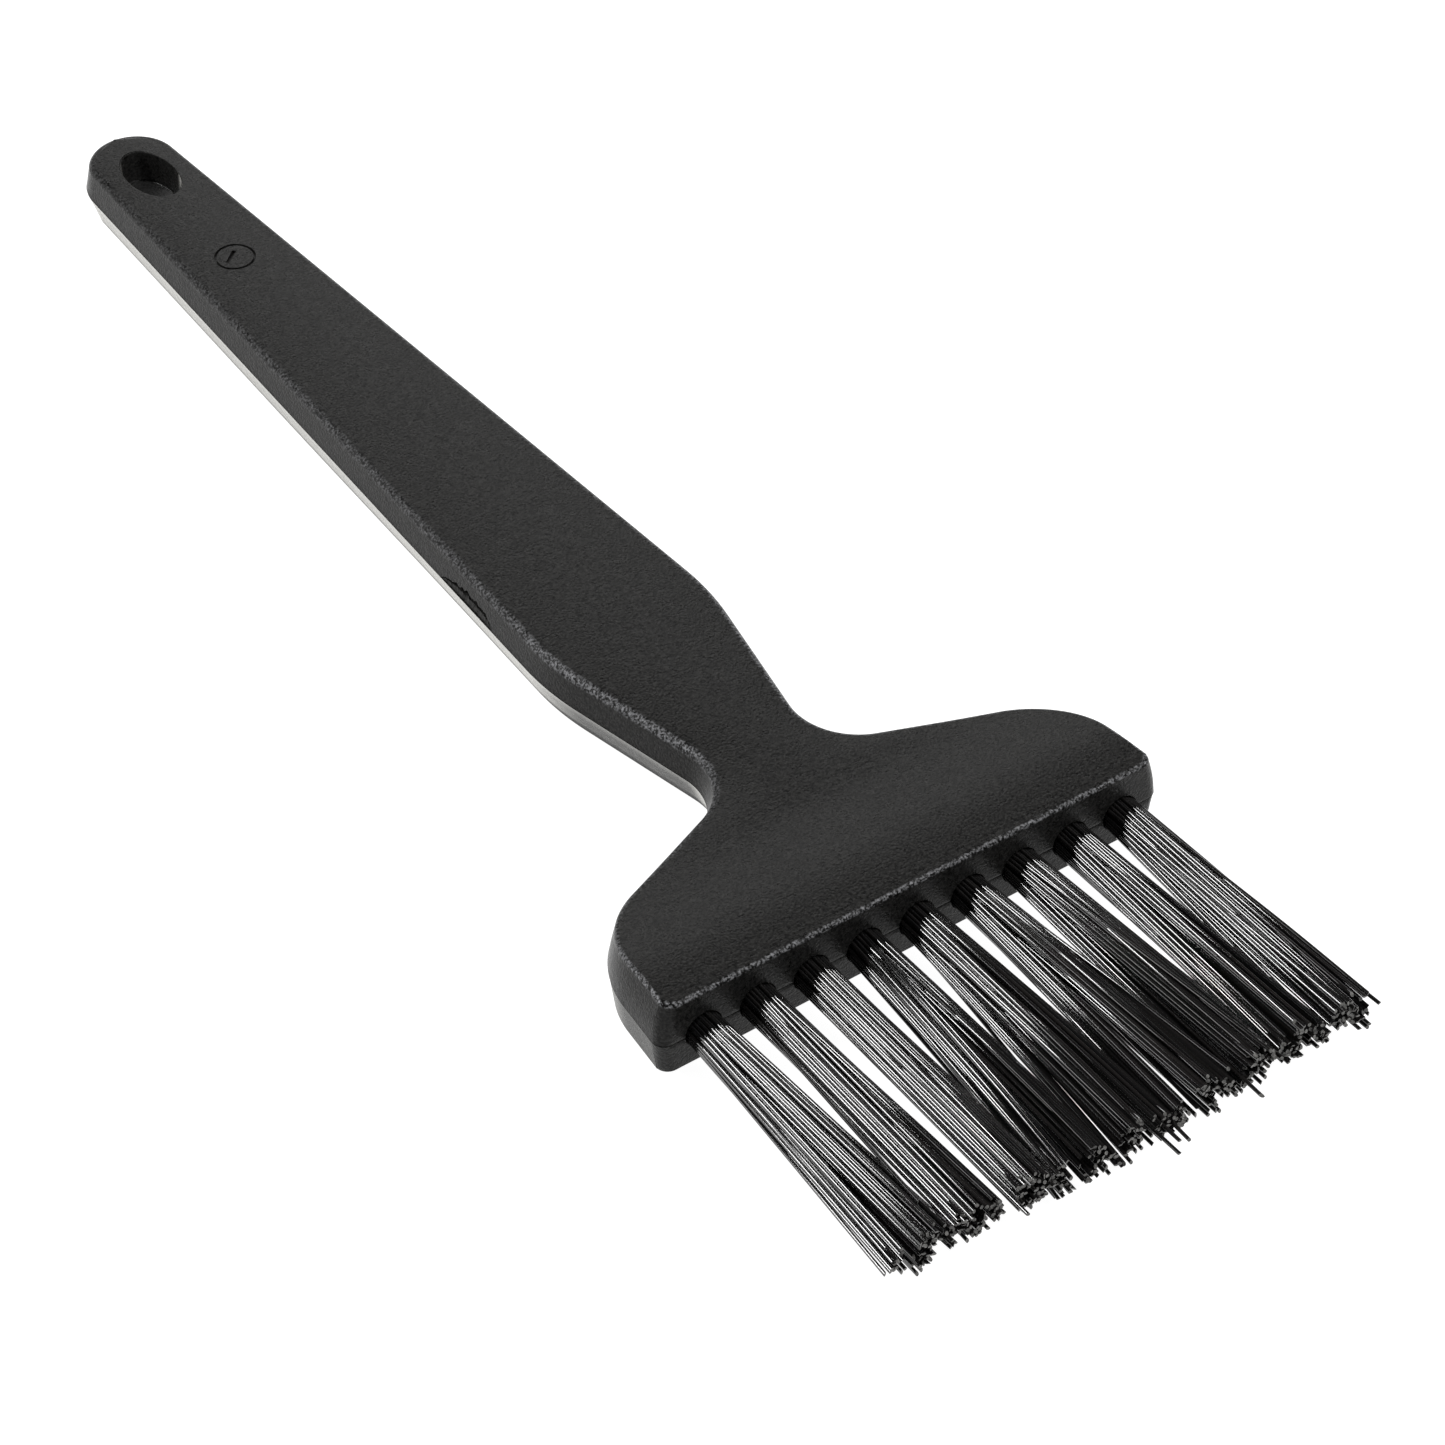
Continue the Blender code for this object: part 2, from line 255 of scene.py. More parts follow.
def cut(obj, tool):
    """Apply an exact Boolean difference and delete the tool."""
    mod = obj.modifiers.new("cut", "BOOLEAN")
    mod.operation = "DIFFERENCE"
    mod.solver = "EXACT"
    mod.object = tool
    bpy.context.view_layer.update()
    evaluated = obj.evaluated_get(bpy.context.evaluated_depsgraph_get())
    mesh = bpy.data.meshes.new_from_object(evaluated)
    obj.modifiers.clear()
    old = obj.data
    obj.data = mesh
    bpy.data.meshes.remove(old)
    bpy.data.objects.remove(tool, do_unlink=True)
    mesh.name = obj.name


def bridge(bm, loops, closed=True):
    """Quads between neighbouring rows of vertices."""
    for one, two in zip(loops, loops[1:]):
        count = len(one) if closed else len(one) - 1
        for i in range(count):
            j = (i + 1) % len(one)
            bm.faces.new((one[i], one[j], two[j], two[i]))


def circle(bm, radius, z, sides=64):
    """Level ring of vertices round the origin."""
    turns = [2.0 * math.pi * i / sides for i in range(sides)]
    return [bm.verts.new((radius * math.cos(turn), radius * math.sin(turn), z))
            for turn in turns]


# ----------------------------------------------------------------- materials
def new_material(name):
    """Empty node material: (material, tree, shader)."""
    mat = bpy.data.materials.new(name)
    mat.use_nodes = True
    tree = mat.node_tree
    return mat, tree, tree.nodes["Principled BSDF"]


def noise(tree, scale, detail=2.0, stretch=(1.0, 1.0, 1.0), roughness=0.5):
    """Noise in object space, its size given in features per metre."""
    coords = tree.nodes.new("ShaderNodeTexCoord")
    mapping = tree.nodes.new("ShaderNodeMapping")
    mapping.inputs["Scale"].default_value = stretch
    texture = tree.nodes.new("ShaderNodeTexNoise")
    texture.inputs["Scale"].default_value = scale
    texture.inputs["Detail"].default_value = detail
    texture.inputs["Roughness"].default_value = roughness
    tree.links.new(coords.outputs["Object"], mapping.inputs["Vector"])
    tree.links.new(mapping.outputs["Vector"], texture.inputs["Vector"])
    return texture.outputs["Fac"]


def ramp(tree, value, low, high, colours):
    """Map a value from low..high to two colours or greys."""
    node = tree.nodes.new("ShaderNodeValToRGB")
    node.color_ramp.elements[0].position = low
    node.color_ramp.elements[1].position = high
    for element, colour in zip(node.color_ramp.elements, colours):
        element.color = (*colour, 1.0) if len(colour) == 3 else (*colour * 3, 1.0)
    tree.links.new(value, node.inputs["Fac"])
    return node.outputs["Color"]


def combine(tree, operation, one, two):
    """Two colours added or multiplied channel by channel."""
    node = tree.nodes.new("ShaderNodeVectorMath")
    node.operation = operation
    tree.links.new(one, node.inputs[0])
    tree.links.new(two, node.inputs[1])
    return node.outputs["Vector"]


def bump(tree, height, distance, below=None):
    """Bump node: a height of 1 stands for distance in metres."""
    node = tree.nodes.new("ShaderNodeBump")
    node.inputs["Distance"].default_value = distance
    tree.links.new(height, node.inputs["Height"])
    if below:
        tree.links.new(below, node.inputs["Normal"])
    return node.outputs["Normal"]


def moulded_plastic():
    """Black conductive plastic with a fine spark-eroded grain.

    Painted glints of the grain lighten the colour along the top edges, and a painted grazing
    sheen makes the lower mould half paler where it is seen edge on.
    """
    mat, tree, shader = new_material("moulded_black_plastic")
    pits = noise(tree, GRAIN_DENSITY, 2.0, roughness=0.6)
    # Grain colour: partly the grain's own speckle and partly painted shade, the pits of the
    # bump coloured darker than its rises.
    tint = ramp(tree, pits, 0.33, 0.68,
                [(0.0030, 0.0030, 0.0029), (0.0215, 0.0210, 0.0200)])
    # Painted glints: the grain's higher specks are added to the colour along the top edges, as
    # the edge layer says.
    edge = tree.nodes.new("ShaderNodeAttribute")
    edge.attribute_name = "edge"
    glints = ramp(tree, pits, 0.44, 0.66, [(0.0,), (0.26, 0.262, 0.275)])
    painted_glints = combine(tree, "MULTIPLY", glints, edge.outputs["Color"])
    # Painted grazing sheen: where the lower half is seen edge on, its colour grows paler.
    facing = tree.nodes.new("ShaderNodeLayerWeight")
    facing.inputs["Blend"].default_value = 0.5
    glance = ramp(tree, facing.outputs["Facing"], 0.72, 0.88, [(0.0,), (0.42, 0.415, 0.39)])
    lower = tree.nodes.new("ShaderNodeAttribute")
    lower.attribute_name = "lower"
    painted_sheen = combine(tree, "MULTIPLY", glance, lower.outputs["Color"])
    colour = combine(tree, "ADD", combine(tree, "ADD", tint, painted_glints), painted_sheen)
    tree.links.new(colour, shader.inputs["Base Color"])
    rough = ramp(tree, noise(tree, 900.0, 4.0), 0.3, 0.7, [(0.24,), (0.32,)])
    tree.links.new(rough, shader.inputs["Roughness"])
    swell = bump(tree, noise(tree, SWELL_DENSITY, 2.0), SWELL_HEIGHT)
    grain = bump(tree, pits, GRAIN_HEIGHT, below=swell)
    tree.links.new(grain, shader.inputs["Normal"])
    shader.inputs["IOR"].default_value = 1.5
    shader.inputs["Specular IOR Level"].default_value = 0.1
    return mat


def filament_nylon():
    """Glossy black filament, each one a slightly different tone."""
    mat, tree, shader = new_material("filament_black_nylon")
    tone = tree.nodes.new("ShaderNodeAttribute")
    tone.attribute_name = "tone"
    tint = ramp(tree, tone.outputs["Fac"], 0.0, 1.0,
                [(0.004, 0.004, 0.0042), (0.013, 0.012, 0.0115)])
    tree.links.new(tint, shader.inputs["Base Color"])
    drawn = noise(tree, 2400.0, 2.0, stretch=(1.0, 0.04, 1.0))
    rough = ramp(tree, drawn, 0.3, 0.75, [(0.04,), (0.07,)])
    tree.links.new(rough, shader.inputs["Roughness"])
    shader.inputs["IOR"].default_value = 1.6
    return mat


def cut_nylon():
    """Rough, greyer cut ends of the filaments."""
    mat, tree, shader = new_material("filament_cut_end")
    tint = ramp(tree, noise(tree, 4000.0, 3.0), 0.35, 0.65,
                [(0.04, 0.04, 0.038), (0.17, 0.166, 0.158)])
    tree.links.new(tint, shader.inputs["Base Color"])
    shader.inputs["Roughness"].default_value = 0.55
    tree.links.new(bump(tree, noise(tree, 9000.0), 0.00002), shader.inputs["Normal"])
    return mat


def galvanised_wire():
    """Drawn zinc-coated wire: dull bands along the drawing direction."""
    mat, tree, shader = new_material("galvanised_anchor_wire")
    drawn = noise(tree, 5000.0, 3.0, stretch=(0.05, 1.0, 1.0))
    tint = ramp(tree, drawn, 0.3, 0.7, [(0.46, 0.46, 0.45), (0.66, 0.66, 0.64)])
    rough = ramp(tree, drawn, 0.25, 0.8, [(0.28,), (0.48,)])
    tree.links.new(tint, shader.inputs["Base Color"])
    tree.links.new(rough, shader.inputs["Roughness"])
    tree.links.new(bump(tree, drawn, 0.000006), shader.inputs["Normal"])
    shader.inputs["Metallic"].default_value = 1.0
    return mat


# ------------------------------------------------------------- plan outline
def arc_points(before, corner, after, radius, spacing):
    """Points and outward normals of the arc that rounds one corner."""
    corner = Vector(corner)
    to_before = (Vector(before) - corner).normalized()
    to_after = (Vector(after) - corner).normalized()
    half = to_before.angle(to_after) / 2.0
    centre = corner + (to_before + to_after).normalized() * (radius / math.sin(half))
    start = corner + to_before * (radius / math.tan(half)) - centre
    side = -1.0 if to_before.cross(to_after) > 0.0 else 1.0
    sweep = math.pi - 2.0 * half
    steps = max(3, math.ceil(radius * sweep / spacing))
    result = []
    for step in range(steps + 1):
        spoke = start.copy()
        spoke.rotate(Matrix.Rotation(side * sweep * step / steps, 2))
        result.append((centre + spoke, spoke.normalized() * side))
    return result


def end_tangent(point):
    """Angle on the end circle where a line from point touches it."""
    centre = Vector((0.0, END_CENTRE_Y))
    away = Vector(point) - centre
    return math.atan2(away.y, away.x) + math.acos(END_R / away.length)


def refine(points):
    """Split the straight stretches to the mesh spacing."""
    result = [points[0]]
    for (here, _), (there, normal) in zip(points, points[1:]):
        step = STEP_HEAD if here.y < RISE_TO_Y else STEP_HANDLE
        count = max(1, math.ceil((there - here).length / step))
        last = result[-1][1]
        for i in range(1, count):
            straight = last.lerp(normal, i / count).normalized()
            result.append((here.lerp(there, i / count), straight))
        result.append((there, normal))
    return result


def half_outline():
    """Right half of the outline from the front corner to the tip."""
    angle = end_tangent(BULGE_CORNER)
    tangent = (END_R * math.cos(angle), END_CENTRE_Y + END_R * math.sin(angle))
    points = arc_points((0.0, 0.0), FRONT_CORNER, SHOULDER_CORNER, FRONT_CORNER_R, 0.2)
    points += arc_points(FRONT_CORNER, SHOULDER_CORNER, NECK_CORNER, SHOULDER_R, 0.5)
    points += arc_points(SHOULDER_CORNER, NECK_CORNER, BULGE_CORNER, NECK_R, 0.4)
    points += arc_points(NECK_CORNER, BULGE_CORNER, tangent, BULGE_R, 0.9)
    steps = 32
    for step in range(steps + 1):
        turn = angle + (math.pi / 2.0 - angle) * step / steps
        spoke = Vector((math.cos(turn), math.sin(turn)))
        points.append((Vector((0.0, END_CENTRE_Y)) + spoke * END_R, spoke))
    return refine(points)


# ---------------------------------------------------------- moulded handle
def rise(y):
    """Height of the top face above the parting plane."""
    fall = (HANDLE_RISE - HEAD_RISE) * smoothstep(y, RISE_FROM_Y, RISE_TO_Y)
    return HEAD_RISE + fall - HEAD_LEAN * max(0.0, 1.0 - y / HEAD_LEAN_Y) ** 1.5


def along_brush(head, handle, y, span=HEAD_TO_HANDLE_Y):
    """A dimension that changes from its head value to its handle value."""
    return head + (handle - head) * smoothstep(y, *span)


def crown(share, y):
    """How far the handle's top falls at a share of the half width."""
    return HANDLE_CROWN * share * share * smoothstep(y, RISE_FROM_Y, RISE_TO_Y)


def wall_profile(y):
    """Wall section from bottom to top at y: (height, inset of side, of front)."""
    r_low = along_brush(EDGE_R_LOW_HEAD, EDGE_R_LOW_HANDLE, y)
    r_high = along_brush(EDGE_R_HEAD, EDGE_R_HANDLE, y)
    low, high = PARTING_Z - r_low, rise(y) - crown(1.0, y) - r_high
    draft = along_brush(END_DRAFT_DOWN, SIDE_DRAFT_DOWN, y, END_DRAFT_Y)
    down = math.tan(along_brush(draft, TIP_DRAFT_DOWN, y, TIP_DRAFT_Y))
    down_front = math.tan(FRONT_DRAFT_DOWN)
    levels = []
    for turn in np.linspace(math.pi / 2.0, 0.0, 9):
        roll = r_low * (1.0 - math.cos(turn)) + SEAM_STEP
        levels.append((-low - r_low * math.sin(turn), low * down + roll,
                       low * down_front + roll))
    for share in (0.8, 0.6, 0.4, 0.2):
        levels.append((-low * share, low * share * down + SEAM_STEP,
                       low * share * down_front + SEAM_STEP))
    for climb, extra in ((-SEAM_HALF * 1.8, SEAM_STEP), (-SEAM_HALF, SEAM_STEP + 0.03),
                         (-SEAM_HALF * 0.6, SEAM_STEP + SEAM_DEPTH),
                         (SEAM_HALF * 0.6, SEAM_DEPTH), (SEAM_HALF, 0.03),
                         (SEAM_HALF * 1.8, 0.0)):
        levels.append((climb, extra, extra))
    up, up_front = math.tan(SIDE_DRAFT_UP), math.tan(FRONT_DRAFT_UP)
    swell = along_brush(END_BULGE, 0.0, y, END_BULGE_Y)
    for share in (0.1, 0.2, 0.3, 0.4, 0.5, 0.6, 0.7, 0.8, 0.9):
        bulge = swell * math.sin(math.pi * share)
        levels.append((high * share, high * share * up - bulge, high * share * up_front))
    for turn in np.linspace(0.0, math.pi / 2.0, TOP_EDGE_RINGS):
        roll = r_high * (1.0 - math.cos(turn))
        levels.append((high + r_high * math.sin(turn), high * up + roll,
                       high * up_front + roll))
    return levels


def wall_point(point, normal, level):
    """Place one outline point on one level of the drafted wall."""
    climb, side, front = level
    if point.y < FRONT_CORNER_R * 1.05:
        place = front_corner_point(normal, side, front)
    else:
        place = point - normal * side
    return Vector((max(place.x, 0.0), place.y + FRONT_Y, PARTING_Z + climb))


def front_corner_point(normal, side, front):
    """Point of the front corner whose two walls have moved in by side and front."""
    wall = (Vector(SHOULDER_CORNER) - Vector(FRONT_CORNER)).normalized()
    wall_normal = Vector((wall.y, -wall.x))
    y = FRONT_CORNER_R + front
    reach = wall_normal.y * y + FRONT_CORNER_R + side
    return Vector((FRONT_CORNER[0] - reach / wall_normal.x, y)) + normal * FRONT_CORNER_R


def moulding_mesh():
    """Walls and caps of the moulding before its holes are cut.

    The vertex layers edge and lower carry where glints are painted on the top edge and where a
    painted grazing sheen makes the lower mould half paler.
    """
    outline = half_outline()
    bm = bmesh.new()
    profiles = [wall_profile(point.y) for point, _ in outline]
    levels = len(profiles[0])
    edge = bm.verts.layers.float.new("edge")
    lower = bm.verts.layers.float.new("lower")
    rings = []
    for level in range(levels):
        right = [wall_point(p, n, profile[level])
                 for (p, n), profile in zip(outline, profiles)]
        right[-1].x = 0.0
        first = right[0]
        front = [Vector((first.x * (2.0 * i / ACROSS - 1.0), first.y, first.z))
                 for i in range(1, ACROSS)]
        left = [Vector((-v.x, v.y, v.z)) for v in right[:-1]]
        ring = [bm.verts.new(v) for v in front + right + left[::-1]]
        turn = max(0.0, (level - levels + TOP_EDGE_RINGS) / (TOP_EDGE_RINGS - 1.0))
        for vert in ring:
            y = vert.co.y - FRONT_Y
            # Painted glints: how much lighter the top edge's colour is made here, most halfway
            # round the edge.
            vert[edge] = float(np.interp(y, PAINTED_GLINT_AT, PAINTED_GLINT)) * math.sin(math.pi * turn) ** 0.7
            # Painted grazing sheen on the lower mould half, weaker on the head.
            below = vert.co.z < PARTING_Z - SEAM_HALF / 2.0
            vert[lower] = along_brush(PAINTED_SHEEN_HEAD, 1.0, y, PAINTED_SHEEN_Y) * below
        rings.append(ring)
    bridge(bm, rings)
    half = len(outline)
    for ring, top in ((rings[0], False), (rings[-1], True)):
        cap_rows(bm, ring, half, top)
    bmesh.ops.recalc_face_normals(bm, faces=bm.faces)
    return bm


def cap_rows(bm, ring, half, top):
    """Fill a cap with rows from the front edge to the tip."""
    front = ring[:ACROSS - 1]
    right = ring[ACROSS - 1:ACROSS - 1 + half]
    left = ring[ACROSS - 1 + half:][::-1]
    rows = [[left[0]] + front + [right[0]]]
    for i in range(1, half - 1):
        edge = right[i].co
        row = [left[i]]
        for column in range(1, ACROSS):
            share = 2.0 * column / ACROSS - 1.0
            y = edge.y - FRONT_Y
            lift = crown(1.0, y) - crown(share, y) if top else 0.0
            row.append(bm.verts.new((edge.x * share, edge.y, edge.z + lift)))
        rows.append(row + [right[i]])
    bridge(bm, rows, closed=False)
    tip = right[-1]
    for one, two in zip(rows[-1], rows[-1][1:]):
        bm.faces.new((one, two, tip))


def loft(bm, rings, sides, axis="y"):
    """Closed solid through elliptical rings: (place, half a, half b)."""
    loops = []
    for place, half_a, half_b in rings:
        loop = []
        for i in range(sides):
            angle = 2.0 * math.pi * i / sides
            a, b = half_a * math.cos(angle), half_b * math.sin(angle)
            loop.append(bm.verts.new((a, place, b) if axis == "y" else (a, b, place)))
        loops.append(loop)
    bridge(bm, loops)
    bm.faces.new(loops[0])
    bm.faces.new(loops[-1])


def socket_tool():
    """The nine blind sockets as one cutter, their mouths slightly eased."""
    sections = [(-2.0, SOCKET_R + SOCKET_EASE), (-0.02, SOCKET_R + SOCKET_EASE),
                (SOCKET_EASE, SOCKET_R), (SOCKET_DEPTH, SOCKET_R),
                (SOCKET_DEPTH + SOCKET_CONE, SOCKET_R / 3.0)]
    bm = bmesh.new()
    for x in TUFT_X:
        fresh = len(bm.verts)
        loft(bm, [(depth, radius, radius) for depth, radius in sections], 48)
        bm.verts.ensure_lookup_table()
        bmesh.ops.translate(bm, verts=bm.verts[fresh:], vec=(x, FRONT_Y, PARTING_Z))
    bmesh.ops.recalc_face_normals(bm, faces=bm.faces)
    return add_object("socket_tool", bm)


def anchor_seat_tool():
    """The slots that the anchors are driven into."""
    bm = bmesh.new()
    middle = (ANCHOR_LOW + ANCHOR_HIGH) / 2.0
    size = ANCHOR_HIGH - ANCHOR_LOW + Vector((0.1, 0.1, 0.1))
    for x in TUFT_X:
        place = Matrix.Translation((x, middle.y, middle.z))
        bmesh.ops.create_cube(bm, size=1.0, matrix=place @ Matrix.Diagonal((*size, 1.0)))
    return add_object("anchor_seat_tool", bm)


def hole_tool():
    """Oval bore with rounded rims and a ledge at the parting plane."""
    top = PARTING_Z + HANDLE_RISE
    step = HOLE_DRAFT + HOLE_LEDGE
    deep, under, over, clear = HOLE_LEDGE_SPAN
    levels = [(-1.0, -HOLE_RIM_R)]
    for turn in np.linspace(0.0, math.pi / 2.0, 7):
        levels.append((HOLE_RIM_R * math.sin(turn), HOLE_RIM_R * (-math.cos(turn))))
    levels += [(PARTING_Z - deep, step), (PARTING_Z - under, step),
               (PARTING_Z + over, HOLE_DRAFT + 0.02), (PARTING_Z + clear, HOLE_DRAFT)]
    for turn in np.linspace(math.pi / 2.0, 0.0, 7):
        levels.append((top - HOLE_RIM_R * math.sin(turn), HOLE_RIM_R * (-math.cos(turn))))
    levels.append((top + 1.0, -HOLE_RIM_R))
    bm = bmesh.new()
    loft(bm, [(z, HOLE_HALF_X - inset, HOLE_HALF_Y - inset) for z, inset in levels], 96, "z")
    bmesh.ops.translate(bm, verts=bm.verts, vec=(0.0, HOLE_CENTRE_Y + FRONT_Y, 0.0))
    bmesh.ops.recalc_face_normals(bm, faces=bm.faces)
    return add_object("hole_tool", bm)


def mark_tool():
    """Ring groove and a short centred slot, cut into the handle's top."""
    bm = bmesh.new()
    top = PARTING_Z + HANDLE_RISE
    groove = ((-0.5, 0.3), (0.5, 0.3), (0.3, -MARK_DEPTH), (-0.3, -MARK_DEPTH))
    loops = [circle(bm, MARK_R + outward * MARK_WIDTH, z) for outward, z in groove]
    bridge(bm, loops + loops[:1])
    place = Matrix.Translation((*MARK_SLOT_PLACE, 0.0))
    place = place @ Matrix.Rotation(math.radians(MARK_SLOT_TURN), 4, "Z")
    place = place @ Matrix.Diagonal((MARK_SLOT_LENGTH, 1.2 * MARK_WIDTH, 2.0 * MARK_DEPTH, 1.0))
    bmesh.ops.create_cube(bm, size=1.0, matrix=place)
    bmesh.ops.translate(bm, verts=bm.verts, vec=(MARK_CENTRE[0], MARK_CENTRE[1] + FRONT_Y, top))
    bmesh.ops.recalc_face_normals(bm, faces=bm.faces)
    return add_object("mark_tool", bm)


def outline_half_width(outline, y):
    """Half width of the handle at the parting plane."""
    handle = [point for point, _ in outline if point.y > BULGE_CORNER[1]]
    return float(np.interp(y, [point.y for point in handle], [point.x for point in handle]))


def gouge_tool(rng):
    """A torn crescent in the left wall, just above the parting plane."""
    outline = half_outline()
    draft = math.tan(SIDE_DRAFT_UP)
    bm = bmesh.new()
    loops = []
    draws = rng.normal(0.0, 1.0, GOUGE_STATIONS + len(GOUGE_SMOOTHING) - 1)
    ragged = np.convolve(draws, GOUGE_SMOOTHING, "valid")
    for share, tear in zip(np.linspace(0.0, 1.0, GOUGE_STATIONS), ragged):
        y = GOUGE_FROM_Y + (GOUGE_TO_Y - GOUGE_FROM_Y) * share
        arch = math.sin(math.pi * share ** 0.8) ** 0.7
        top = GOUGE_BASE + 0.02 + (GOUGE_HEIGHT + GOUGE_TEAR * tear) * max(arch, 0.03)
        depth = 0.05 + GOUGE_DEPTH * (0.4 + 0.6 * arch) + rng.uniform(-0.05, 0.05)
        wall = -outline_half_width(outline, y)
        loop = [(wall - GOUGE_OUTSIDE, top + 0.05), (wall + draft * top + depth, top),
                (wall + draft * top + depth * 0.9, top * 0.62),
                (wall + depth * 0.3 + rng.uniform(-0.1, 0.1), top * 0.55),
                (wall + depth * 0.1 + rng.uniform(0.0, 0.05), GOUGE_BASE),
                (wall - GOUGE_OUTSIDE, GOUGE_BASE)]
        loops.append([bm.verts.new((x, y + FRONT_Y, PARTING_Z + z)) for x, z in loop])
    bridge(bm, loops)
    bm.faces.new(loops[0])
    bm.faces.new(loops[-1])
    bmesh.ops.recalc_face_normals(bm, faces=bm.faces)
    return add_object("gouge_tool", bm)


def handle_moulding(mat):
    """Head, neck and handle in one fine mesh."""
    obj = add_object("handle_moulding", moulding_mesh(), [mat])
    for tool in (socket_tool(), anchor_seat_tool(), hole_tool(), mark_tool(),
                 gouge_tool(np.random.default_rng(GOUGE_SEED))):
        cut(obj, tool)
    obj.data.shade_smooth()
    obj.data.set_sharp_from_angle(angle=math.radians(34.0))
    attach(obj, "root")
    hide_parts("handle_body")


# ----------------------------------------------------------------- filaments
def bundle_layout():
    """Close-packed places in a socket: pairs of an upper and a lower (x, z)."""
    reach = SOCKET_R - FILAMENT_D / 2.0
    tilt = math.radians(BUNDLE_TILT)
    most = math.ceil(SOCKET_R / FILAMENT_D)
    places = []
    for row in range(-most, most + 1):
        for column in range(-most, most + 1):
            x = (column + 0.5 * (row % 2)) * FILAMENT_D
            z = ROW_SPACING * row * FILAMENT_D
            if x * x + z * z < reach * reach:
                places.append((x * math.cos(tilt) - z * math.sin(tilt),
                               x * math.sin(tilt) + z * math.cos(tilt)))
    places.sort(key=lambda place: place[1])
    half = len(places) // 2
    lower, upper = sorted(places[:half]), sorted(places[-half:])
    return list(zip(upper, lower))


def relax(points, gap, rounds):
    """Push filament centres in one section apart until gap lies between them."""
    for _ in range(rounds):
        away = points[:, None, :] - points[None, :, :]
        distance = np.sqrt((away ** 2).sum(-1)) + 1e-9
        np.fill_diagonal(distance, 1e9)
        push = np.clip(gap - distance, 0.0, None) * 0.5
        points = points + (away / distance[..., None] * push[..., None]).sum(1) * RELAX_SHARE
    return points


def plan_filaments(rng):
    """Stations of every filament end: roots and centres at four sections."""
    layout = bundle_layout()
    ends = []
    for tuft, centre in enumerate(TUFT_X):
        lean, half_width, droop = TUFT_SHAPES[tuft]
        clumps = rng.uniform(-1.0, 1.0, (CLUMPS, 2)) * (SOCKET_R, 0.8 * SOCKET_R)
        drift = rng.normal(0.0, 1.0, (CLUMPS, 2)) * CLUMP_DRIFT
        spread = np.array((half_width, TIP_HALF_Z)) / (SOCKET_R - FILAMENT_D / 2.0)
        for pair in layout:
            row = int(abs(pair[0][1] - pair[1][1]) / FILAMENT_D / 2.0)
            for place in pair:
                root = np.array(place) + rng.normal(0.0, ROOT_SCATTER, 2)
                near = np.exp(-((clumps - root) ** 2).sum(1) / CLUMP_REACH)
                near /= near.sum()
                moved = near @ (clumps * (spread - 1.0) + drift)
                scatter = LOOSE_SCATTER if rng.uniform() < LOOSE_SHARE else TIP_SCATTER
                tip = root + moved + rng.normal(0.0, scatter, 2)
                tip += (lean, -droop * rng.normal(1.0, DROOP_SPREAD))
                bow = rng.normal(0.0, BOW_SCATTER, 2)
                ends.append({"tuft": tuft, "row": row, "root": root + (centre, 0.0),
                             "tip": tip + (centre, 0.0), "bow": bow, "droop": droop})
    root = np.array([end["root"] for end in ends])
    tip = np.array([end["tip"] for end in ends])
    length = TUFT_LENGTH + rng.normal(0.0, LENGTH_SCATTER, len(ends))
    for tuft, x, z, extra in STRAYS:
        wanted = np.array((TUFT_X[tuft] + x, z))
        nearest = np.argmin([np.linalg.norm(end["tip"] - wanted) if end["tuft"] == tuft
                             else math.inf for end in ends])
        tip[nearest] = wanted
        length[nearest] = TUFT_LENGTH + extra
    bow = np.array([end["bow"] for end in ends])
    droop = np.array([end["droop"] for end in ends])
    sections = []
    for share in (0.0, 0.33, 0.66, 1.0):
        flat = root + (tip - root) * share + bow * math.sin(math.pi * share) * 2.0
        flat[:, 1] += droop * (share - share ** 2)
        if share > 0.5:
            flat = relax(flat, FILAMENT_D, RELAX_ROUNDS)
        flat[:, 1] = np.maximum(flat[:, 1], LOWEST_Z)
        sections.append(flat)
    return ends, np.array(sections), length


def spline(values, t):
    """Smooth curve through equally spaced values, at 0 <= t <= 1."""
    last = len(values) - 1
    k = min(int(t * last), last - 1)
    u = t * last - k
    p1, p2 = values[k], values[k + 1]
    p0 = values[k - 1] if k > 0 else 2.0 * p1 - p2
    p3 = values[k + 2] if k + 2 <= last else 2.0 * p2 - p1
    return 0.5 * (2.0 * p1 + (p2 - p0) * u + (2.0 * p0 - 5.0 * p1 + 4.0 * p2 - p3) * u * u
                  + (3.0 * p1 - p0 - 3.0 * p2 + p3) * u ** 3)


def free_path(sections, length):
    """Centre line of one end from its tip to the socket mouth."""
    points = []
    for step in range(FREE_RINGS, -1, -1):
        t = step / FREE_RINGS
        x, z = spline(sections, t)
        points.append(Vector((x, FRONT_Y - length * t, PARTING_Z + z)))
    return points


def fold_path(row, x, start, stop):
    """Hidden U from one mouth point round the anchor to the other."""
    straight_y = ANCHOR_HIGH.y - FOLD_BACK
    reach_z = (ANCHOR_HIGH.z - ANCHOR_LOW.z) / 2.0 + FILAMENT_D / 2.0 + FOLD_RISE * row
    reach_y = FOLD_REACH + FOLD_NEST * row
    points = [Vector((start.x, FRONT_Y + FOLD_MOUTH_Y, start.z))]
    for turn in np.linspace(0.0, math.pi, 7):
        points.append(Vector((x, straight_y + reach_y * math.sin(turn),
                              PARTING_Z + reach_z * math.cos(turn))))
    points.append(Vector((stop.x, FRONT_Y + FOLD_MOUTH_Y, stop.z)))
    return points


